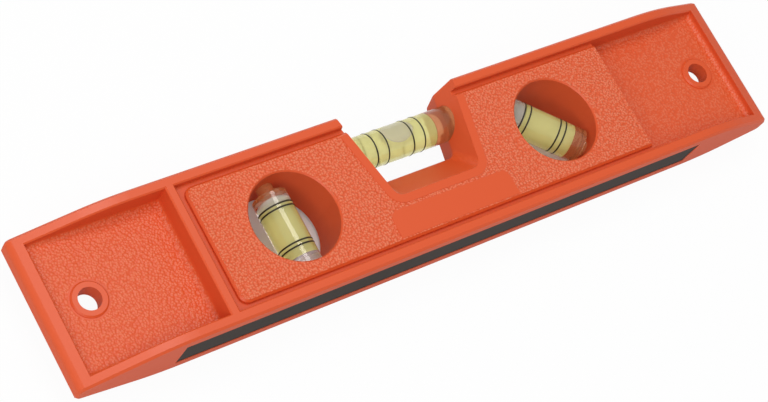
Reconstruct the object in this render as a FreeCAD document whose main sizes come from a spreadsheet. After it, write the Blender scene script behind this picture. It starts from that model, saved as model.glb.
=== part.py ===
"""Pocket spirit level with three vials, lying on its back.

Every sub-part lies in the part's own frame: X runs along the level, Y from the magnetic base edge
(-Y) to the notched top edge (+Y), and Z from the back flanges (Z = 0) up to the front flanges.
The body is drawn as its front half about the mid-plane and mirrored, because both faces are alike.
All lengths are in millimetres.
"""
import FreeCAD, Part
import math
import os
import Sketcher

Vector = FreeCAD.Vector

# Sizes that drive the level: alias, value and what the value is.
SIZES = [
    ("body_length", 225, "overall length"),
    ("body_height", 41, "base edge to top edge"),
    ("flange_to_flange", 17.6, "thickness over both flanges"),
    ("end_thickness", 5.4, "thickness of the thin ends"),
    ("left_taper_length", 24.5, "left end to where its taper begins"),
    ("right_taper_length", 19.5, "right end to where its taper begins"),
    ("taper_blend_radius", 55, "soft bend into the taper"),
    ("tip_rounding", 2.0, "rounding of the thin ends, seen from the side"),
    ("flange_height", 2.8, "height of the top and base flanges"),
    ("left_rim_width", 3.7, "rim left at the left pocket's end"),
    ("right_rim_width", 4.5, "rim left at the right pocket's end"),
    ("web_thickness", 3.5, "floor left between the two end pockets"),
    ("outer_bevel", 0.6, "bevel of the outer edges"),
    ("mouth_bevel", 0.35, "bevel along the flanges' and the rib's inner edges"),
    ("rib_thickness", 2.5, "rib between left pocket and plateau"),
    ("rib_gap", 2.0, "channel between rib and plateau"),
    ("plateau_half_length", 67, "centre to each end of the plateau"),
    ("plateau_step", 0.8, "plateau face below the flanges"),
    ("plateau_slope_run", 3.0, "run of the slope at the right end"),
    ("plateau_corner_radius", 2.5, "corners beside the rib"),
    ("plateau_bevel", 0.6, "bevel along the plateau edges"),
    ("channel_width", 1.3, "channel between plateau and flange"),
    ("channel_depth", 2.2, "channel floor below the flanges"),
    ("floor_rounding", 1.4, "rounding all round the pocket floors"),
    ("vial_hole_radius", 12.3, "round holes of the two side vials"),
    ("vial_hole_place", 42.7, "centre to each round hole"),
    ("vial_hole_bevel", 0.4, "bevel round the round holes' rims"),
    ("hanging_hole_radius", 3.03, "hole at each end"),
    ("hanging_hole_inset", 13.1, "either end to its hanging hole"),
    ("hanging_ring_radius", 4.8, "raised ring round the hanging hole"),
    ("hanging_ring_height", 0.6, "ring above the pocket floor"),
    ("hanging_ring_bevel", 0.4, "bevel on the ring's outer edge"),
    ("notch_depth_front", 25.9, "top edge to the notch floor at the flange plane"),
    ("notch_depth_ridge", 17.7, "top edge to the notch floor's ridge at the mid-plane"),
    ("notch_half_front", 13.5, "half width at the floor, flange plane"),
    ("notch_half_ridge", 13.1, "half width at the floor, mid-plane"),
    ("notch_side_angle", 12, "lean of the notch sides, in degrees"),
    ("notch_corner_radius", 2.8, "rounded corners of the notch floor"),
    ("ridge_rounding", 1.5, "rounded ridge of the notch floor"),
    ("border_width", 2.4, "smooth raised border round the notch"),
    ("border_height", 0.15, "border above the plateau"),
    ("border_end_gap", 0.3, "border ends short of the plateau's bevel"),
    ("patch_left", 18.5, "bare smooth patch, centre to left side"),
    ("patch_right", 20.2, "bare smooth patch, centre to right side"),
    ("patch_height", 7.5, "bare smooth patch, up from the plateau edge"),
    ("patch_rise", 0.1, "patch above the plateau"),
    ("patch_corner_radius", 2.5, "rounded upper corners of the patch"),
    ("magnet_length", 168, "magnetic strip in the base edge"),
    ("magnet_width", 10, "across the base edge"),
    ("magnet_depth", 1.3, "thickness of the strip"),
    ("magnet_sunk", 0.15, "strip below the base edge"),
    ("magnet_clearance", 0.1, "play between strip and groove"),
    ("vial_radius", 4.8, "outside of every vial barrel"),
    ("vial_chamfer", 0.4, "chamfer on the barrel ends"),
    ("bore_radius", 3.55, "bore of every vial barrel"),
    ("stem_radius", 2.2, "stem of the plug on the side vials"),
    ("plug_clearance", 0.03, "play between plug and bore"),
    ("seat_clearance", 0.05, "play between vial and its seat"),
    ("seat_end_gap", 0.1, "play at the blind end of a seat"),
    ("ring_thickness", 0.1, "black ring above the barrel"),
    ("ring_width", 0.45, "black ring along the barrel"),
    ("level_axis_drop", 8.6, "top edge to the level vial's axis"),
    ("level_from", -17.6, "barrel start along its axis"),
    ("level_to", 17.6, "barrel end"),
    ("level_liquid_from", -14.5, "liquid start"),
    ("level_liquid_to", 10.2, "liquid end"),
    ("level_ring_centre", -2.2, "middle of the four rings"),
    ("level_ring_inner", 4.1, "middle to inner ring"),
    ("level_ring_outer", 7.75, "middle to outer ring"),
    ("plumb_from", -13.4, "barrel start, let into the hole's wall"),
    ("plumb_to", 9.6, "barrel end"),
    ("plumb_stem_to", 13.6, "stem end, let into the hole's wall"),
    ("plumb_liquid_from", -8.8, "liquid start"),
    ("plumb_liquid_to", 8.6, "liquid end"),
    ("plumb_ring_centre", -0.5, "middle of the four rings"),
    ("plumb_ring_inner", 4.9, "middle to inner ring"),
    ("plumb_ring_outer", 6.0, "middle to outer ring"),
    ("plumb_shift", 0.2, "vial axis beside the hole's centre"),
    ("slant_angle", 45, "slope of the third vial, in degrees"),
    ("slant_shift", 0.5, "its axis beside the hole's centre, along X and along Y"),
    ("slant_from", -13.4, "barrel start, let into the hole's wall"),
    ("slant_to", 11.0, "barrel end"),
    ("slant_stem_to", 13.6, "stem end, let into the hole's wall"),
    ("slant_liquid_from", -11.5, "liquid start"),
    ("slant_liquid_to", 7.6, "liquid end"),
    ("slant_ring_centre", -1.75, "middle of the four rings"),
    ("slant_ring_inner", 4.55, "middle to inner ring"),
    ("slant_ring_outer", 6.25, "middle to outer ring"),
    ("level_bubble_length", 9.6, "air bubble, under the top of the bore"),
    ("level_bubble_offset", 1.2, "its middle beside the rings' middle"),
    ("level_bubble_radius", 2.3, "its radius"),
    ("plumb_bubble_length", 3.0, "air bubble at the plug"),
    ("plumb_bubble_radius", 3.2, "its radius"),
    ("slant_bubble_length", 4.4, "air bubble at the closed end"),
    ("slant_bubble_radius", 3.0, "its radius"),
    ("bubble_nose", 0.4, "share of the radius that the bubble's ends are bevelled by"),
    ("bubble_gap", 0.15, "liquid film between a bubble and the bore or its end"),
]

# Sizes that follow from the ones above.
DERIVED = [
    ("half_length", "=body_length / 2"),
    ("half_height", "=body_height / 2"),
    ("half_thick", "=flange_to_flange / 2"),
    ("half_web", "=web_thickness / 2"),
    ("inner_wall", "=half_height - flange_height"),
    ("left_taper_start", "=half_length - left_taper_length"),
    ("right_taper_start", "=half_length - right_taper_length"),
    ("left_pocket_end", "=half_length - left_rim_width"),
    ("right_pocket_end", "=half_length - right_rim_width"),
    ("hanging_hole_place", "=half_length - hanging_hole_inset"),
    ("plateau_face", "=half_thick - plateau_step"),
    ("plateau_edge", "=inner_wall - channel_width"),
    ("channel_floor", "=half_thick - channel_depth"),
    ("rib_inner", "=plateau_half_length + rib_gap"),
    ("rib_outer", "=rib_inner + rib_thickness"),
    ("slope_end", "=plateau_half_length + plateau_slope_run"),
    ("above", "=half_thick + 3"),
    ("level_axis_height", "=half_height - level_axis_drop"),
    ("notch_floor_front", "=half_height - notch_depth_front"),
    ("notch_floor_ridge", "=half_height - notch_depth_ridge"),
    ("side_lean", "=tan(notch_side_angle * 1deg)"),
    ("notch_top", "=half_height + 1"),
    ("notch_top_front", "=notch_half_front + (notch_top - notch_floor_front) * side_lean"),
    ("notch_top_ridge", "=notch_half_ridge + (notch_top - notch_floor_ridge) * side_lean"),
    ("face_share", "=plateau_face / half_thick"),
    ("notch_floor_face", "=notch_floor_ridge + (notch_floor_front - notch_floor_ridge) * face_share"),
    ("notch_half_face", "=notch_half_ridge + (notch_half_front - notch_half_ridge) * face_share"),
    ("border_floor", "=notch_floor_face - border_width"),
    ("border_top", "=plateau_edge - plateau_bevel - border_end_gap"),
    ("border_side", "=notch_half_face + border_width / cos(notch_side_angle * 1deg)"),
    ("border_half_floor", "=border_side + (border_floor - notch_floor_face) * side_lean"),
    ("border_half_top", "=border_side + (border_top - notch_floor_face) * side_lean"),
    ("border_corner", "=notch_corner_radius + border_width"),
    ("patch_base", "=-plateau_edge + plateau_bevel + border_end_gap"),
    ("magnet_groove", "=magnet_depth + magnet_sunk"),
    ("seat_radius", "=vial_radius + seat_clearance"),
    ("stem_seat_radius", "=stem_radius + seat_clearance"),
    ("plug_radius", "=bore_radius - plug_clearance"),
]

doc = FreeCAD.newDocument("pocket_spirit_level")
sheet = doc.addObject("Spreadsheet::Sheet", "Dims")
rows = [(alias, str(size)) for alias, size, _ in SIZES] + DERIVED
for row, (alias, content) in enumerate(rows, start=1):
    sheet.set("A%d" % row, alias)
    sheet.set("B%d" % row, content)
    sheet.setAlias("B%d" % row, alias)
for row, (_, _, meaning) in enumerate(SIZES, start=1):
    sheet.set("C%d" % row, meaning)
doc.recompute()


def value(formula):
    """Present value of a formula, used to draw geometry near its final place."""
    return float(sheet.evalExpression(formula))


def new_body(name, x="0", y="0", turn="0"):
    """Sub-part whose own origin lies at (x, y) on the mid-plane, turned about Z."""
    body = doc.addObject("PartDesign::Body", name)
    body.Label = name
    body.Placement.Rotation = FreeCAD.Rotation(Vector(0, 0, 1), 1)
    body.setExpression("Placement.Base.x", x)
    body.setExpression("Placement.Base.y", y)
    body.setExpression("Placement.Base.z", "Dims.half_thick")
    body.setExpression("Placement.Rotation.Angle", turn)
    return body


def origin_plane(body, role):
    return next(item for item in body.Origin.OriginFeatures if item.Role == role)


def new_sketch(body, name, role, offset=None):
    """Sketch on one of the body's own planes, optionally moved along the plane's normal."""
    sketch = body.newObject("Sketcher::SketchObject", name)
    sketch.AttachmentSupport = [(origin_plane(body, role), "")]
    sketch.MapMode = "FlatFace"
    if offset is not None:
        sketch.setExpression("AttachmentOffset.Base.z", offset)
    return sketch


def dimension(sketch, kind, formula, *where):
    index = sketch.addConstraint(Sketcher.Constraint(kind, *where, value(formula)))
    sketch.setExpression("Constraints[%d]" % index, formula)


def pin(sketch, geometry, end, x, y):
    """Hold one point of the sketch at (x, y); a plain 0 puts it on the axis."""
    for kind, axis, formula in (("DistanceX", -2, x), ("DistanceY", -1, y)):
        if formula == "0":
            sketch.addConstraint(Sketcher.Constraint("PointOnObject", geometry, end, axis))
        else:
            dimension(sketch, kind, formula, -1, 1, geometry, end)


def outline(sketch, corners):
    """Closed outline through corners (x, y), or (x, y, radius) where the corner is rounded."""
    points = [Vector(value(corner[0]), value(corner[1]), 0) for corner in corners]
    count = len(corners)
    bends = []
    for i, corner in enumerate(corners):
        into = (points[i - 1] - points[i]).normalize()
        out = (points[(i + 1) % count] - points[i]).normalize()
        half_angle = into.getAngle(out) / 2
        radius = value(corner[2]) if len(corner) == 3 else 0
        reach = radius / math.tan(half_angle)
        inward = (into + out).normalize() if radius else Vector()
        middle = points[i] + inward * (radius / math.sin(half_angle) - radius)
        bends.append((points[i] + into * reach, middle, points[i] + out * reach))
    lines = []
    for i in range(count):
        segment = Part.LineSegment(bends[i][2], bends[(i + 1) % count][0])
        lines.append(sketch.addGeometry(segment))
    for i, corner in enumerate(corners):
        before, after = lines[i - 1], lines[i]
        if len(corner) == 2:
            sketch.addConstraint(Sketcher.Constraint("Coincident", before, 2, after, 1))
            pin(sketch, after, 1, corner[0], corner[1])
            continue
        arc = sketch.addGeometry(Part.Arc(*bends[i]))
        arrives = sketch.getPoint(arc, 1).distanceToPoint(bends[i][0]) < 1e-6
        first, last = (1, 2) if arrives else (2, 1)
        sketch.addConstraint(Sketcher.Constraint("Tangent", before, 2, arc, first))
        sketch.addConstraint(Sketcher.Constraint("Tangent", arc, last, after, 1))
        dimension(sketch, "Radius", corner[2], arc)
        tip = sketch.addGeometry(Part.Point(points[i]), True)
        sketch.addConstraint(Sketcher.Constraint("PointOnObject", tip, 1, before))
        sketch.addConstraint(Sketcher.Constraint("PointOnObject", tip, 1, after))
        pin(sketch, tip, 1, corner[0], corner[1])


def circle(sketch, x, y, radius):
    centre = Vector(value(x), value(y), 0)
    ring = sketch.addGeometry(Part.Circle(centre, Vector(0, 0, 1), value(radius)))
    pin(sketch, ring, 3, x, y)
    dimension(sketch, "Radius", radius, ring)


def extrude(body, kind, name, sketch, length, side="One side", flip=False):
    """Pad or Pocket; a pocket cuts against the sketch's normal unless flipped."""
    feature = body.newObject("PartDesign::" + kind, name)
    feature.Profile = sketch
    feature.SideType = side
    feature.Reversed = flip
    feature.setExpression("Length", length)
    return feature


def dress_edges(body, kind, name, size, wanted):
    """Fillet or Chamfer on every edge of the body's present shape that wanted(edge) picks."""
    doc.recompute()
    base = body.Tip
    names = ["Edge%d" % i for i, edge in enumerate(base.Shape.Edges, start=1) if wanted(edge)]
    feature = body.newObject("PartDesign::" + kind, name)
    feature.Base = (base, names)
    feature.setExpression("Radius" if kind == "Fillet" else "Size", size)
    doc.recompute()


def spans(edge, axis, place, slack=0.01):
    """True where the whole edge lies at that place along the axis."""
    box = edge.BoundBox
    low, high = {"x": (box.XMin, box.XMax), "y": (box.YMin, box.YMax), "z": (box.ZMin, box.ZMax)}[axis]
    return abs(low - place) < slack and abs(high - place) < slack


# Body: a flat bar with both ends tapered, drawn from the side as its front half.
body = new_body("body")
side = new_sketch(body, "side_view", "XZ_Plane")
outline(side, [
    ("-Dims.half_length", "0"),
    ("Dims.half_length", "0"),
    ("Dims.half_length", "Dims.end_thickness / 2", "Dims.tip_rounding"),
    ("Dims.right_taper_start", "Dims.half_thick", "Dims.taper_blend_radius"),
    ("-Dims.left_taper_start", "Dims.half_thick", "Dims.taper_blend_radius"),
    ("-Dims.half_length", "Dims.end_thickness / 2", "Dims.tip_rounding"),
])
extrude(body, "Pad", "bar", side, "Dims.body_height", side="Symmetric")

# End pockets: the left one stops at the rib, the right one at the plateau's slope.
pockets = new_sketch(body, "pocket_profiles", "XZ_Plane")
outline(pockets, [
    ("-Dims.left_pocket_end", "Dims.half_web"),
    ("-Dims.rib_outer", "Dims.half_web"),
    ("-Dims.rib_outer", "Dims.above"),
    ("-Dims.left_pocket_end", "Dims.above"),
])
outline(pockets, [
    ("Dims.plateau_half_length", "Dims.plateau_face"),
    ("Dims.slope_end", "Dims.half_web"),
    ("Dims.right_pocket_end", "Dims.half_web"),
    ("Dims.right_pocket_end", "Dims.above"),
    ("Dims.plateau_half_length", "Dims.above"),
])
extrude(body, "Pocket", "end_pockets", pockets, "2 * Dims.inner_wall", side="Symmetric")

# Plateau face, a little below the flanges, and the narrow channel round three of its sides.
plateau = new_sketch(body, "plateau_area", "XY_Plane", "Dims.plateau_face")
outline(plateau, [
    ("-Dims.rib_inner", "-Dims.inner_wall"),
    ("Dims.slope_end", "-Dims.inner_wall"),
    ("Dims.slope_end", "Dims.inner_wall"),
    ("-Dims.rib_inner", "Dims.inner_wall"),
])
extrude(body, "Pocket", "plateau_level", plateau, "2 * Dims.half_thick", flip=True)

channel = new_sketch(body, "channel_area", "XY_Plane", "Dims.channel_floor")
outline(channel, [
    ("-Dims.rib_inner", "-Dims.inner_wall"),
    ("Dims.slope_end", "-Dims.inner_wall"),
    ("Dims.slope_end", "-Dims.plateau_edge"),
    ("-Dims.plateau_half_length", "-Dims.plateau_edge", "Dims.plateau_corner_radius"),
    ("-Dims.plateau_half_length", "Dims.plateau_edge", "Dims.plateau_corner_radius"),
    ("Dims.slope_end", "Dims.plateau_edge"),
    ("Dims.slope_end", "Dims.inner_wall"),
    ("-Dims.rib_inner", "Dims.inner_wall"),
])
extrude(body, "Pocket", "channel", channel, "2 * Dims.half_thick", flip=True)

# Rings round the hanging holes, the notch's smooth border and the bare patch below it.
rings = new_sketch(body, "hanging_rings", "XY_Plane")
for sign in ("-", ""):
    circle(rings, sign + "Dims.hanging_hole_place", "0", "Dims.hanging_ring_radius")
extrude(body, "Pad", "hanging_bosses", rings, "Dims.half_web + Dims.hanging_ring_height")

border = new_sketch(body, "notch_border", "XY_Plane")
outline(border, [
    ("-Dims.border_half_floor", "Dims.border_floor", "Dims.border_corner"),
    ("Dims.border_half_floor", "Dims.border_floor", "Dims.border_corner"),
    ("Dims.border_half_top", "Dims.border_top"),
    ("-Dims.border_half_top", "Dims.border_top"),
])
extrude(body, "Pad", "border", border, "Dims.plateau_face + Dims.border_height")

patch = new_sketch(body, "bare_patch", "XY_Plane")
outline(patch, [
    ("-Dims.patch_left", "Dims.patch_base"),
    ("Dims.patch_right", "Dims.patch_base"),
    ("Dims.patch_right", "Dims.patch_base + Dims.patch_height", "Dims.patch_corner_radius"),
    ("-Dims.patch_left", "Dims.patch_base + Dims.patch_height", "Dims.patch_corner_radius"),
])
extrude(body, "Pad", "patch", patch, "Dims.plateau_face + Dims.patch_rise")

# Notch: its floor climbs at about 45 degrees from the face to a ridge on the mid-plane.
notch_views = []
for name, offset, floor, half, top in (
    ("notch_mid_plane", None, "Dims.notch_floor_ridge", "Dims.notch_half_ridge", "Dims.notch_top_ridge"),
    ("notch_front", "Dims.half_thick", "Dims.notch_floor_front", "Dims.notch_half_front",
     "Dims.notch_top_front"),
):
    view = new_sketch(body, name, "XY_Plane", offset)
    outline(view, [
        ("-" + half, floor, "Dims.notch_corner_radius"),
        (half, floor, "Dims.notch_corner_radius"),
        (top, "Dims.notch_top"),
        ("-" + top, "Dims.notch_top"),
    ])
    notch_views.append(view)
notch = body.newObject("PartDesign::SubtractiveLoft", "notch")
notch.Profile = notch_views[0]
notch.Sections = notch_views[1:]
notch.Ruled = True

# Round holes for the side vials and the two hanging holes.
holes = new_sketch(body, "through_holes", "XY_Plane")
for sign in ("-", ""):
    circle(holes, sign + "Dims.vial_hole_place", "0", "Dims.vial_hole_radius")
    circle(holes, sign + "Dims.hanging_hole_place", "0", "Dims.hanging_hole_radius")
extrude(body, "Pocket", "round_holes", holes, "2 * Dims.half_thick", flip=True)
doc.recompute()

# The back half is the front half's mirror image.
mirror = body.newObject("PartDesign::Mirrored", "both_halves")
mirror.TransformMode = "Whole shape"
mirror.MirrorPlane = (origin_plane(body, "XY_Plane"), [""])
body.Tip = mirror
doc.recompute()

# Groove for the magnetic strip, open towards the base edge.
groove = new_sketch(body, "magnet_groove", "XZ_Plane", "Dims.half_height")
outline(groove, [
    ("-Dims.magnet_length / 2 - Dims.magnet_clearance", "-Dims.magnet_width / 2 - Dims.magnet_clearance"),
    ("Dims.magnet_length / 2 + Dims.magnet_clearance", "-Dims.magnet_width / 2 - Dims.magnet_clearance"),
    ("Dims.magnet_length / 2 + Dims.magnet_clearance", "Dims.magnet_width / 2 + Dims.magnet_clearance"),
    ("-Dims.magnet_length / 2 - Dims.magnet_clearance", "Dims.magnet_width / 2 + Dims.magnet_clearance"),
])
extrude(body, "Pocket", "groove", groove, "Dims.magnet_groove")

# Edges to round or bevel: notch ridge, outside, plateau, hole rims, rings and pockets.
half_height, inner_wall = value("Dims.half_height"), value("Dims.inner_wall")
half_thick, half_web = value("Dims.half_thick"), value("Dims.half_web")
face = value("Dims.plateau_face")


def is_ridge(edge):
    return spans(edge, "y", value("Dims.notch_floor_ridge")) and spans(edge, "z", 0)


def is_outer(edge):
    """Edges of the top and base sides, over the tapers and round both ends."""
    box = edge.BoundBox
    on_side = spans(edge, "y", half_height) or spans(edge, "y", -half_height)
    flange = spans(edge, "z", half_thick) or spans(edge, "z", -half_thick)
    beyond = max(abs(box.XMin), abs(box.XMax)) > value("Dims.left_taper_start")
    return on_side and (flange or beyond)


def is_mouth(edge):
    """Inner edges of the flanges and of the rib, at the flange plane."""
    box = edge.BoundBox
    level = spans(edge, "z", half_thick) or spans(edge, "z", -half_thick)
    flange = spans(edge, "y", inner_wall) or spans(edge, "y", -inner_wall)
    rib = abs(box.XMin) > value("Dims.rib_inner") - 0.01 and box.YLength > 2 * inner_wall - 1
    return level and (flange or rib)


def is_plateau_edge(edge):
    box = edge.BoundBox
    level = spans(edge, "z", face) or spans(edge, "z", -face)
    along = max(abs(box.YMin), abs(box.YMax)) > value("Dims.plateau_edge") - 0.01 and box.XLength > 3
    left = spans(edge, "x", -value("Dims.plateau_half_length"))
    corner = box.XMax < -value("Dims.plateau_half_length") + value("Dims.plateau_corner_radius") + 0.01
    return level and (along or left or corner)


def is_hole_rim(edge):
    level = spans(edge, "z", face) or spans(edge, "z", -face)
    return level and abs(edge.Length - 2 * math.pi * value("Dims.vial_hole_radius")) < 0.01


def is_hanging_ring(edge):
    box = edge.BoundBox
    raised = min(abs(box.ZMin), abs(box.ZMax)) > half_web + value("Dims.hanging_ring_height") - 0.01
    return raised and abs(edge.Length - 2 * math.pi * value("Dims.hanging_ring_radius")) < 0.01


def is_floor_edge(edge):
    """Edges all round the floors of the end pockets."""
    level = spans(edge, "z", half_web) or spans(edge, "z", -half_web)
    wall = spans(edge, "y", inner_wall) or spans(edge, "y", -inner_wall)
    ends = ("-Dims.left_pocket_end", "-Dims.rib_outer", "Dims.slope_end", "Dims.right_pocket_end")
    return level and (wall or any(spans(edge, "x", value(place)) for place in ends))


for kind, name, size, wanted in (
    ("Fillet", "ridge_rounding", "Dims.ridge_rounding", is_ridge),
    ("Fillet", "floor_rounding", "Dims.floor_rounding", is_floor_edge),
    ("Chamfer", "outer_bevel", "Dims.outer_bevel", is_outer),
    ("Chamfer", "mouth_bevel", "Dims.mouth_bevel", is_mouth),
    ("Chamfer", "plateau_bevel", "Dims.plateau_bevel", is_plateau_edge),
    ("Chamfer", "hole_rim_bevel", "Dims.vial_hole_bevel", is_hole_rim),
    ("Chamfer", "hanging_ring_bevel", "Dims.hanging_ring_bevel", is_hanging_ring),
):
    dress_edges(body, kind, name, size, wanted)

# Seats that hold the vials: blind round holes in the notch sides and the round holes' walls.
level_seat = new_sketch(body, "level_seat", "YZ_Plane", "Dims.level_from - Dims.seat_end_gap")
circle(level_seat, "Dims.level_axis_height", "0", "Dims.seat_radius")
extrude(body, "Pocket", "level_seats", level_seat,
        "Dims.level_to - Dims.level_from + 2 * Dims.seat_end_gap", flip=True)


def seat(name, x, y, angle, radius, reach, flip):
    """Blind hole from a side vial's middle (x, y) outwards; flipped, it runs to the plug's end."""
    sketch = new_sketch(body, name + "_outline", "YZ_Plane", x)
    sketch.AttachmentOffset.Rotation = FreeCAD.Rotation(Vector(0, 1, 0), 1)
    sketch.setExpression("AttachmentOffset.Base.x", y)
    sketch.setExpression("AttachmentOffset.Rotation.Angle", angle)
    circle(sketch, "0", "0", radius)
    extrude(body, "Pocket", name, sketch, reach + " + Dims.seat_end_gap", flip=flip)


plumb_place = ("-Dims.vial_hole_place + Dims.plumb_shift", "0")
slant_place = ("Dims.vial_hole_place + Dims.slant_shift", "Dims.slant_shift")
slant_turn = "-Dims.slant_angle"
seat("plumb_seat", *plumb_place, "90", "Dims.seat_radius", "-Dims.plumb_from", False)
seat("plumb_stem_seat", *plumb_place, "90", "Dims.stem_seat_radius", "Dims.plumb_stem_to", True)
seat("slant_seat", *slant_place, slant_turn, "Dims.seat_radius", "-Dims.slant_from", False)
seat("slant_stem_seat", *slant_place, slant_turn, "Dims.stem_seat_radius", "Dims.slant_stem_to", True)

# Magnetic strip, lying on the groove's floor.
strip = new_body("magnet_strip")
strip_side = new_sketch(strip, "strip_outline", "XZ_Plane", "Dims.half_height - Dims.magnet_sunk")
outline(strip_side, [
    ("-Dims.magnet_length / 2", "-Dims.magnet_width / 2"),
    ("Dims.magnet_length / 2", "-Dims.magnet_width / 2"),
    ("Dims.magnet_length / 2", "Dims.magnet_width / 2"),
    ("-Dims.magnet_length / 2", "Dims.magnet_width / 2"),
])
extrude(strip, "Pad", "strip", strip_side, "Dims.magnet_depth", flip=True)


def turned(body, kind, name, corners, lift="0"):
    """Revolution or Groove of an outline, drawn as (along X, radius), about X or a line above it."""
    sketch = new_sketch(body, name + "_outline", "XY_Plane")
    sketch.setExpression("AttachmentOffset.Base.y", lift)
    outline(sketch, corners)
    feature = body.newObject("PartDesign::" + kind, name)
    feature.Profile = sketch
    feature.ReferenceAxis = (sketch, ["H_Axis"])
    feature.Angle = 360


def vial(name, x, y, angle, stem_stop, bubble_from):
    """Clear barrel with a closed end, its plug, the liquid with an air bubble and four rings."""
    own = "Dims." + name + "_"
    start, stop = own + "from", own + "to"
    liquid_from, liquid_to = own + "liquid_from", own + "liquid_to"

    barrel = new_body(name + "_vial_barrel", x, y, angle)
    turned(barrel, "Revolution", name + "_barrel", [
        (start, "0"),
        (start, "Dims.vial_radius - Dims.vial_chamfer"),
        (start + " + Dims.vial_chamfer", "Dims.vial_radius"),
        (stop + " - Dims.vial_chamfer", "Dims.vial_radius"),
        (stop, "Dims.vial_radius - Dims.vial_chamfer"),
        (stop, "Dims.bore_radius"),
        (liquid_from, "Dims.bore_radius"),
        (liquid_from, "0"),
    ])

    plug = new_body(name + "_vial_plug", x, y, angle)
    plug_end = [(stop, "Dims.plug_radius"), (stop, "0")]
    if stem_stop:
        plug_end[1:] = [(stop, "Dims.stem_radius"), (stem_stop, "Dims.stem_radius"), (stem_stop, "0")]
    turned(plug, "Revolution", name + "_plug",
           [(liquid_to, "0"), (liquid_to, "Dims.plug_radius")] + plug_end)

    liquid = new_body(name + "_vial_liquid", x, y, angle)
    turned(liquid, "Revolution", name + "_liquid", [
        (liquid_from, "0"),
        (liquid_from, "Dims.bore_radius"),
        (liquid_to, "Dims.bore_radius"),
        (liquid_to, "0"),
    ])
    radius = own + "bubble_radius"
    bubble_to = "%s + %sbubble_length" % (bubble_from, own)
    nose = "Dims.bubble_nose * " + radius
    turned(liquid, "Groove", name + "_bubble", [
        (bubble_from, "0"),
        (bubble_from, radius + " - " + nose),
        (bubble_from + " + " + nose, radius),
        (bubble_to + " - " + nose, radius),
        (bubble_to, radius + " - " + nose),
        (bubble_to, "0"),
    ], lift="Dims.bore_radius - %s - Dims.bubble_gap" % radius)

    sides = (("-", "outer"), ("-", "inner"), ("+", "inner"), ("+", "outer"))
    for number, (sign, reach) in enumerate(sides, start=1):
        ring = new_body("%s_vial_ring_%d" % (name, number), x, y, angle)
        centre = "%sring_centre %s %sring_%s" % (own, sign, own, reach)
        turned(ring, "Revolution", "%s_ring_%d" % (name, number), [
            (centre + " - Dims.ring_width / 2", "Dims.vial_radius"),
            (centre + " + Dims.ring_width / 2", "Dims.vial_radius"),
            (centre, "Dims.vial_radius + Dims.ring_thickness"),
        ])


vial("level", "0", "Dims.level_axis_height", "0", None,
     "Dims.level_ring_centre + Dims.level_bubble_offset - Dims.level_bubble_length / 2")
vial("plumb", *plumb_place, "90", "Dims.plumb_stem_to",
     "Dims.plumb_liquid_to - Dims.bubble_gap - Dims.plumb_bubble_length")
vial("slant", *slant_place, slant_turn, "Dims.slant_stem_to",
     "Dims.slant_liquid_from + Dims.bubble_gap")

doc.recompute()
for item in doc.Objects:
    if "Invalid" in item.State or "Error" in item.State:
        raise RuntimeError("%s failed: %s" % (item.Label, item.State))
os.makedirs("parts", exist_ok=True)
for item in doc.Objects:
    if item.TypeId == "PartDesign::Body":
        if item.Shape.isNull() or not item.Shape.isValid() or len(item.Shape.Solids) != 1:
            raise RuntimeError(item.Label + " isn't one sound solid")
        item.Shape.exportStep("parts/%s.step" % item.Label)
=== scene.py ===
"""Looks of the pocket spirit level: materials, liquids, bubbles, camera, light and floor."""

import math

import bmesh
import bpy
from mathutils import Matrix, Vector


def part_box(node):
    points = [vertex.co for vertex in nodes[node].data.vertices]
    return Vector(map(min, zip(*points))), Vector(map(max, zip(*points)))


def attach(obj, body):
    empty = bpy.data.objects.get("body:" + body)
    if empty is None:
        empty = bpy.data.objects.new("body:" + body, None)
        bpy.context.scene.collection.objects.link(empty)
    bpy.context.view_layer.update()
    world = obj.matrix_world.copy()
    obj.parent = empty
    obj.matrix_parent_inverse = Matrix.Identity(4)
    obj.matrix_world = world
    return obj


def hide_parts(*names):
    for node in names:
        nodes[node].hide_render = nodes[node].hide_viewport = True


MM = 0.001
UP = Vector((0, 0, 1))
WHITE = (1, 1, 1, 1)
MATH = "ShaderNodeMath"

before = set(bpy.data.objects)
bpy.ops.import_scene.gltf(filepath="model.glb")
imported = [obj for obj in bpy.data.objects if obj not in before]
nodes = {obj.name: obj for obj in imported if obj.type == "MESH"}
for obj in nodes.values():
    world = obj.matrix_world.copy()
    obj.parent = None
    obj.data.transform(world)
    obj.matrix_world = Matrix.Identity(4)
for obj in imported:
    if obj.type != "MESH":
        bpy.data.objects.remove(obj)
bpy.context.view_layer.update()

# Heights on the moulding, measured from its mid-plane.
body_low, body_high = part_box("body")
mid_plane = (body_low.z + body_high.z) / 2
PLATEAU_DROP = 0.8 * MM
PLATEAU_HEIGHT = body_high.z - mid_plane - PLATEAU_DROP
WEB_HEIGHT = 1.75 * MM
COVE = 1.0 * MM
BAND = 0.06 * MM

# Places along the moulding, measured from its middle, and across it.
ROUND_HOLE = 42.7 * MM
RIB = 69.5 * MM
HANGING_HOLE = 99.4 * MM
RING_EDGE = 5.3 * MM
POCKET_END = 107.9 * MM
FLANGE = 2.8 * MM
INNER_WALL = body_high.y - FLANGE

# Finish of the moulding. A face whose normal has less than LEVEL_FACE of its length upright is a
# wall. The grain is a bed of rounded pebbles with a painted highlight on each top, which ends a
# set share of a pebble's width from its middle; grain and highlight are weaker in the pockets.
ORANGE = "#D85324"
# The lighter orange is the colour of the painted highlight on the grain's tops.
HIGHLIGHT_ORANGE = "#F59A74"
FACE_ROUGHNESS = 0.4
WALL_ROUGHNESS = 0.65
LEVEL_FACE = 0.5
PEBBLE_WIDTH = 0.66 * MM
PEBBLE_DEPTH = 0.3 * MM
HIGHLIGHT_EDGE = 0.62
POCKET_GRAIN = 0.6

# Inside of a vial: the bore, the liquid in it and the film between them.
BORE = 3.55 * MM
FILM = 0.05 * MM
LIQUID = 3.3 * MM
SHARP_BEND = math.radians(40)

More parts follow.
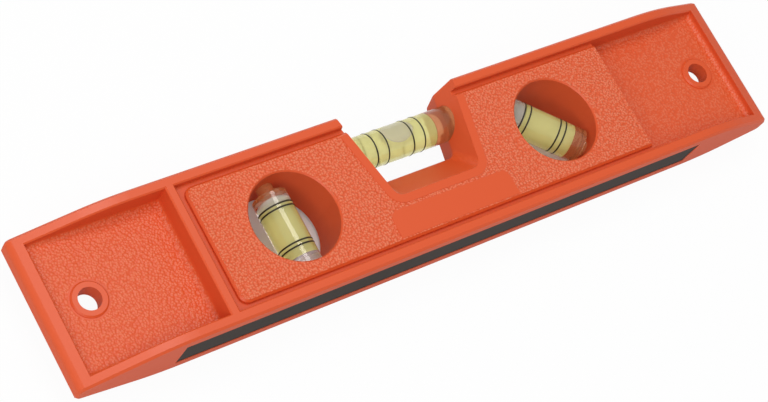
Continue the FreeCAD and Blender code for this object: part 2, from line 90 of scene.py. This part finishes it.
# Floor: the share of pure white that is seen of it, and its shade below each round hole.
FLOOR_HALF = 6
FLOOR_WHITE = 0.95
SHADE_RADIUS = 15 * MM
SHADE = 0.9

# Strength of the even light from all round.
DAYLIGHT = 0.5


def linear(hex_colour):
    """A written sRGB colour as linear red, green, blue and alpha."""
    parts = [int(hex_colour[i:i + 2], 16) / 255 for i in (1, 3, 5)]
    return [c / 12.92 if c <= 0.04045 else ((c + 0.055) / 1.055) ** 2.4 for c in parts] + [1.0]


def add_node(material, kind, inputs=(), **settings):
    """Add a shader node; inputs maps a socket's name or number to what feeds it.

    That is a value, another node's socket, or a node, which gives its first output.
    """
    node = material.node_tree.nodes.new(kind)
    for name, setting in settings.items():
        setattr(node, name, setting)
    for socket, source in dict(inputs).items():
        if isinstance(source, bpy.types.Node):
            source = source.outputs[0]
        if isinstance(source, bpy.types.NodeSocket):
            material.node_tree.links.new(source, node.inputs[socket])
        else:
            node.inputs[socket].default_value = source
    return node


def within(material, value, low, high):
    """Mask that is 1 where value lies between low and high, otherwise 0."""
    above = add_node(material, MATH, {0: value, 1: low}, operation="GREATER_THAN")
    below = add_node(material, MATH, {0: value, 1: high}, operation="LESS_THAN")
    return all_of(material, above, below)


def all_of(material, first, *others):
    """Product of masks and shares: 1 only where every one of them is 1."""
    for other in others:
        first = add_node(material, MATH, {0: first, 1: other}, operation="MULTIPLY")
    return first


def surface_place(material):
    """The surface's place, its X without the sign, its Y and its Z."""
    place = add_node(material, "ShaderNodeTexCoord").outputs["Object"]
    split = add_node(material, "ShaderNodeSeparateXYZ", {0: place})
    out = add_node(material, MATH, {0: split.outputs["X"]}, operation="ABSOLUTE")
    return place, out, split.outputs["Y"], split.outputs["Z"]


def reach_from(material, out, side, centre):
    """The distance, seen from above, to the middle of the hole at centre in the same half."""
    flat_place = add_node(material, "ShaderNodeCombineXYZ", {0: out, 1: side})
    reach = add_node(material, "ShaderNodeVectorMath",
                     {0: flat_place, 1: (centre, 0, 0)}, operation="DISTANCE")
    return reach.outputs["Value"]


def new_material(name, colour, roughness, **extra):
    """Material with one Principled shader; extra sets further sockets, underscores as spaces."""
    material = bpy.data.materials.new(name)
    material.use_nodes = True
    shader = material.node_tree.nodes["Principled BSDF"]
    shader.inputs["Base Color"].default_value = linear(colour)
    shader.inputs["Roughness"].default_value = roughness
    for socket, setting in extra.items():
        shader.inputs[socket.replace("_", " ")].default_value = setting
    return material, shader


def orange_plastic():
    """Moulded ABS: a fine leathery grain on the plateau and in the pockets, with a painted
    highlight on the grain's tops; smooth elsewhere.
    """
    material, shader = new_material("orange_abs", ORANGE, FACE_ROUGHNESS, Specular_IOR_Level=0.45)
    links = material.node_tree.links
    place, out, side, height = surface_place(material)
    height = add_node(material, MATH, {0: height, 1: mid_plane}, operation="SUBTRACT")
    height = add_node(material, MATH, {0: height}, operation="ABSOLUTE")
    normal = add_node(material, "ShaderNodeNewGeometry").outputs["True Normal"]
    facing = add_node(material, "ShaderNodeSeparateXYZ", {0: normal}).outputs["Z"]
    facing = add_node(material, MATH, {0: facing}, operation="ABSOLUTE")
    level = add_node(material, MATH, {0: facing, 1: LEVEL_FACE}, operation="GREATER_THAN")

    # The grain lies on the flat plateau and on the pocket floors with their coves.
    plateau = within(material, height, PLATEAU_HEIGHT - BAND, PLATEAU_HEIGHT + BAND)
    reach = reach_from(material, out, side, HANGING_HOLE)
    off_ring = add_node(material, MATH, {0: reach, 1: RING_EDGE}, operation="GREATER_THAN")
    pocket = all_of(material, within(material, height, WEB_HEIGHT - BAND, WEB_HEIGHT + COVE),
                    off_ring, within(material, out, RIB, POCKET_END), POCKET_GRAIN)
    either = add_node(material, MATH, {0: plateau, 1: pocket}, operation="MAXIMUM")
    grained = all_of(material, either, within(material, side, -INNER_WALL, INNER_WALL), level)

    # The walls, drawn along the mould, are duller than the faces.
    polish = all_of(material, level, WALL_ROUGHNESS - FACE_ROUGHNESS)
    dull = add_node(material, MATH, {0: WALL_ROUGHNESS, 1: polish}, operation="SUBTRACT")
    links.new(dull.outputs[0], shader.inputs["Roughness"])

    pebbles = add_node(material, "ShaderNodeTexVoronoi",
                       {"Vector": place, "Scale": 1 / PEBBLE_WIDTH}, feature="F1")
    from_top = pebbles.outputs["Distance"]
    bump = add_node(material, "ShaderNodeBump", {
        "Strength": grained, "Distance": PEBBLE_DEPTH, "Height": from_top}, invert=True)
    links.new(bump.outputs["Normal"], shader.inputs["Normal"])

    # Painted highlight: the tops of the grain are painted lighter, as if they caught the light.
    top_highlight = add_node(material, MATH, {0: HIGHLIGHT_EDGE, 1: from_top}, operation="SUBTRACT")
    top_highlight = all_of(material, grained, top_highlight)
    highlighted_colour = add_node(material, "ShaderNodeMix", {
        "Factor": top_highlight, "A": linear(ORANGE), "B": linear(HIGHLIGHT_ORANGE)}, data_type="RGBA")
    links.new(highlighted_colour.outputs["Result"], shader.inputs["Base Color"])
    return material


def line_paint():
    """Black paint of the reading lines, half dull."""
    return new_material("line_paint", "#1C1A12", 0.5)[0]


def ferrite_strip():
    """Flexible ferrite magnet, a dark brown-grey strip with a dull sheen."""
    return new_material("ferrite_strip", "#3B332E", 0.7, Specular_IOR_Level=0.12)[0]


def clear_acrylic():
    """Clear, glossy acrylic where it meets the air."""
    return new_material("clear_acrylic", "#FFFFFF", 0.02, Transmission_Weight=1.0, IOR=1.49)[0]


def wet_acrylic():
    """The same acrylic where it meets the liquid, which bends light almost as much."""
    return new_material("wet_acrylic", "#FFFFFF", 0.0, Transmission_Weight=1.0, IOR=1.06)[0]


def glued_plug_painted_light():
    """Acrylic plug glued into the barrel, milky; its colour holds a painted reflection of the
    orange around it, and a painted glow lightens its shade.
    """
    return new_material("glued_plug_painted_light", "#DC9668", 0.15, Transmission_Weight=0.7, IOR=1.2,
                        Emission_Color=linear("#C87C4C"), Emission_Strength=0.1)[0]


def dyed_spirit_painted_glow():
    """Yellow-green dye, a little milky, that tints what lies behind it; a painted glow stands in
    for the light that the glass keeps from it.
    """
    return new_material("dyed_spirit_painted_glow", "#EEEAA6", 0.1, Transmission_Weight=0.55, IOR=1.0,
                        Emission_Color=linear("#FFFCA8"), Emission_Strength=0.09)[0]


def air_bubble_painted_light():
    """Skin between the liquid and the air of a bubble, painted whitish and given a painted glow in
    place of the light it reflects.
    """
    return new_material("air_bubble_painted_light", "#E6E1D8", 0.06, Transmission_Weight=0.6, IOR=1.3,
                        Emission_Color=linear("#F4EFE0"), Emission_Strength=0.09)[0]


def paint(thing, *coats):
    """Give a thing these coats in place of its own; every face starts with the first."""
    thing.data.materials.clear()
    for coat in coats:
        thing.data.materials.append(coat)


# The plug, the liquid and the bubbles carry painted light: painted glow and painted reflection in
# their colours.
acrylic, wet, spirit, air = clear_acrylic(), wet_acrylic(), dyed_spirit_painted_glow(), air_bubble_painted_light()
orange, glued, black = orange_plastic(), glued_plug_painted_light(), line_paint()
paint(nodes["body"], orange)
paint(nodes["magnet_strip"], ferrite_strip())
for name, thing in nodes.items():
    if "_ring_" in name:
        paint(thing, black)


def new_piece(name, shape, material, slot, *replaced):
    """Piece from a bmesh in the frame's own coordinates, smooth over gentle bends."""
    mesh = bpy.data.meshes.new(name)
    shape.to_mesh(mesh)
    shape.free()
    mesh.shade_smooth()
    mesh.set_sharp_from_angle(angle=SHARP_BEND)
    mesh.materials.append(material)
    piece = bpy.data.objects.new(name, mesh)
    bpy.context.scene.collection.objects.link(piece)
    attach(piece, "root")
    if replaced:
        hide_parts(*replaced)


def middle(node):
    """Middle of a node's box."""
    low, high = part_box(node)
    return (low + high) / 2


def ends(thing, start, axis):
    """Places along the axis, counted from start, where a thing begins and ends."""
    places = [(vertex.co - start).dot(axis) for vertex in thing.data.vertices]
    return min(places), max(places)


def coat_faces(thing, start, axis, coat_of):
    """Pick each face's coat by its middle's place along the axis and its reach off the axis."""
    for face in thing.data.polygons:
        offsets = [thing.data.vertices[i].co - start for i in face.vertices]
        along = [offset.dot(axis) for offset in offsets]
        off = [(offset - axis * t).length for offset, t in zip(offsets, along)]
        face.material_index = coat_of(sum(along) / len(along), max(off))


def dress_barrel(barrel, plug, start, axis):
    """Clear barrel, wet in its bore, whose seated foot and mouth are painted the moulding's
    orange, a painted reflection of the seats around them.
    """
    foot, mouth = ends(barrel, start, axis)
    plug_tip = ends(plug, start, axis)[1]
    dry_coat, wet_coat, seat_reflection_coat = range(3)

    def barrel_coat(along, off):
        if off < BORE + BAND and foot + BAND < along < mouth - BAND:
            return wet_coat
        return seat_reflection_coat if along < foot + BAND or along > plug_tip - BAND else dry_coat

    # The seated ends take the moulding's orange as a painted reflection of the seats.
    paint(barrel, acrylic, wet, orange)
    coat_faces(barrel, start, axis, barrel_coat)
    paint(plug, glued)


def fill_vial(vial, bubble_length, bubble_width, bubble_place,
              rise=Vector((0, 0, 0)), spared_low=0, spared_high=0):
    """Dress a vial and put the dyed liquid in its bore, with a bubble against the bore's wall.

    bubble_place and the liquid's spared ends are measured along the axis, rise off the axis.
    """
    start = middle(vial + "_vial_ring_1")
    axis = (middle(vial + "_vial_ring_4") - start).normalized()
    dress_barrel(nodes[vial + "_vial_barrel"], nodes[vial + "_vial_plug"], start, axis)

    low, high = ends(nodes[vial + "_vial_liquid"], start, axis)
    low, high = low + FILM + spared_low, high - FILM - spared_high
    turn = UP.rotation_difference(axis).to_matrix().to_4x4()
    shape = bmesh.new()
    bmesh.ops.create_cone(shape, cap_ends=True, segments=64, radius1=LIQUID,
                          radius2=LIQUID, depth=high - low)
    centre = start + axis * (low + high) / 2
    bmesh.ops.transform(shape, matrix=Matrix.Translation(centre) @ turn, verts=shape.verts)
    new_piece(vial + "_liquid", shape, spirit, "vial_liquid", vial + "_vial_liquid")

    shape = bmesh.new()
    bmesh.ops.create_uvsphere(shape, u_segments=48, v_segments=32, radius=0.5)
    size = Matrix.Diagonal((bubble_width, bubble_width, bubble_length, 1))
    centre = start + axis * bubble_place + rise
    bmesh.ops.transform(shape, matrix=Matrix.Translation(centre) @ turn @ size, verts=shape.verts)

    # The bubble is pressed flat where it meets the wall of the bore.
    for vertex in shape.verts:
        offset = vertex.co - start
        off = offset - axis * offset.dot(axis)
        if off.length > BORE - FILM:
            vertex.co -= off * (1 - (BORE - FILM) / off.length)
    new_piece(vial + "_bubble", shape, air, "vial_liquid")


# The level bubble pokes out of the liquid's side, the other two lie beyond its spared ends.
fill_vial("level", bubble_length=11.0 * MM, bubble_width=5.6 * MM, bubble_place=8.95 * MM,
          rise=Vector((0, 0.95, 1.65)) * MM)
fill_vial("plumb", bubble_length=3.0 * MM, bubble_width=6.6 * MM, bubble_place=13.45 * MM,
          spared_high=2.6 * MM)
fill_vial("slant", bubble_length=4.8 * MM, bubble_width=6.6 * MM, bubble_place=-1.0 * MM,
          spared_low=4.2 * MM)


# Camera: fitted to the photo, with X along the level, in metres.
CAMERA_PLACE = Vector((-0.291196, -0.127858, 0.440239 + mid_plane))
CAMERA_RIGHT = Vector((0.800092, -0.471114, 0.371356))
CAMERA_DOWN = Vector((-0.300048, -0.850340, -0.432311))
CAMERA_AHEAD = Vector((0.519447, 0.234464, -0.821707))

camera_data = bpy.data.cameras.new("camera")
camera_data.lens = 97.15
camera_data.sensor_width = 36
camera_data.clip_start = 0.01
camera = bpy.data.objects.new("camera", camera_data)
bpy.context.scene.collection.objects.link(camera)
axes = Matrix((CAMERA_RIGHT, -CAMERA_DOWN, -CAMERA_AHEAD)).transposed()
camera.matrix_world = Matrix.Translation(CAMERA_PLACE) @ axes.to_4x4()
bpy.context.scene.camera = camera


def area_light(name, place, size, watts):
    """Square soft light at place, aimed at the level."""
    data = bpy.data.lights.new(name, "AREA")
    data.size = size
    data.energy = watts
    light = bpy.data.objects.new(name, data)
    bpy.context.scene.collection.objects.link(light)
    light.location = place
    light.rotation_euler = (-Vector(place)).to_track_quat("-Z", "Y").to_euler()


def white_ground():
    """Painted board, white to the camera and in glass, but shaded below the two round holes."""
    material, shader = new_material("white_ground", "#E8E8E8", 0.9, Specular_IOR_Level=0.0)
    glow = add_node(material, "ShaderNodeEmission", {"Color": WHITE, "Strength": 1.0})
    path = add_node(material, "ShaderNodeLightPath")
    seen = path.outputs["Is Camera Ray"]
    for ray in ("Is Glossy Ray", "Is Transmission Ray"):
        seen = add_node(material, MATH, {0: seen, 1: path.outputs[ray]}, operation="MAXIMUM")

    out, side = surface_place(material)[1:3]
    reach = reach_from(material, out, side, ROUND_HOLE)
    shaded = add_node(material, MATH, {0: reach, 1: SHADE_RADIUS}, operation="LESS_THAN")
    shade = all_of(material, shaded, SHADE)
    lit = add_node(material, MATH, {0: 1.0, 1: shade}, operation="SUBTRACT")
    share = all_of(material, seen, FLOOR_WHITE, lit)
    mix = add_node(material, "ShaderNodeMixShader", {0: share, 1: shader, 2: glow})
    output = material.node_tree.nodes["Material Output"]
    material.node_tree.links.new(mix.outputs[0], output.inputs["Surface"])
    return material


def lay_floor():
    """Plain square floor under the level."""
    shape = bmesh.new()
    bmesh.ops.create_grid(shape, x_segments=1, y_segments=1, size=FLOOR_HALF)
    mesh = bpy.data.meshes.new("floor")
    shape.to_mesh(mesh)
    shape.free()
    mesh.materials.append(white_ground())
    floor = bpy.data.objects.new("floor", mesh)
    bpy.context.scene.collection.objects.link(floor)


lay_floor()
world = bpy.data.worlds.new("world")
world.use_nodes = True
world.node_tree.nodes["Background"].inputs["Color"].default_value = WHITE
world.node_tree.nodes["Background"].inputs["Strength"].default_value = DAYLIGHT
bpy.context.scene.world = world
area_light("softbox", place=(-0.02, 0.17, 0.57), size=0.26, watts=1.3)
area_light("fill", place=(-0.84, -0.40, 0.84), size=0.9, watts=6.6)
bpy.context.scene.view_settings.view_transform = "Standard"
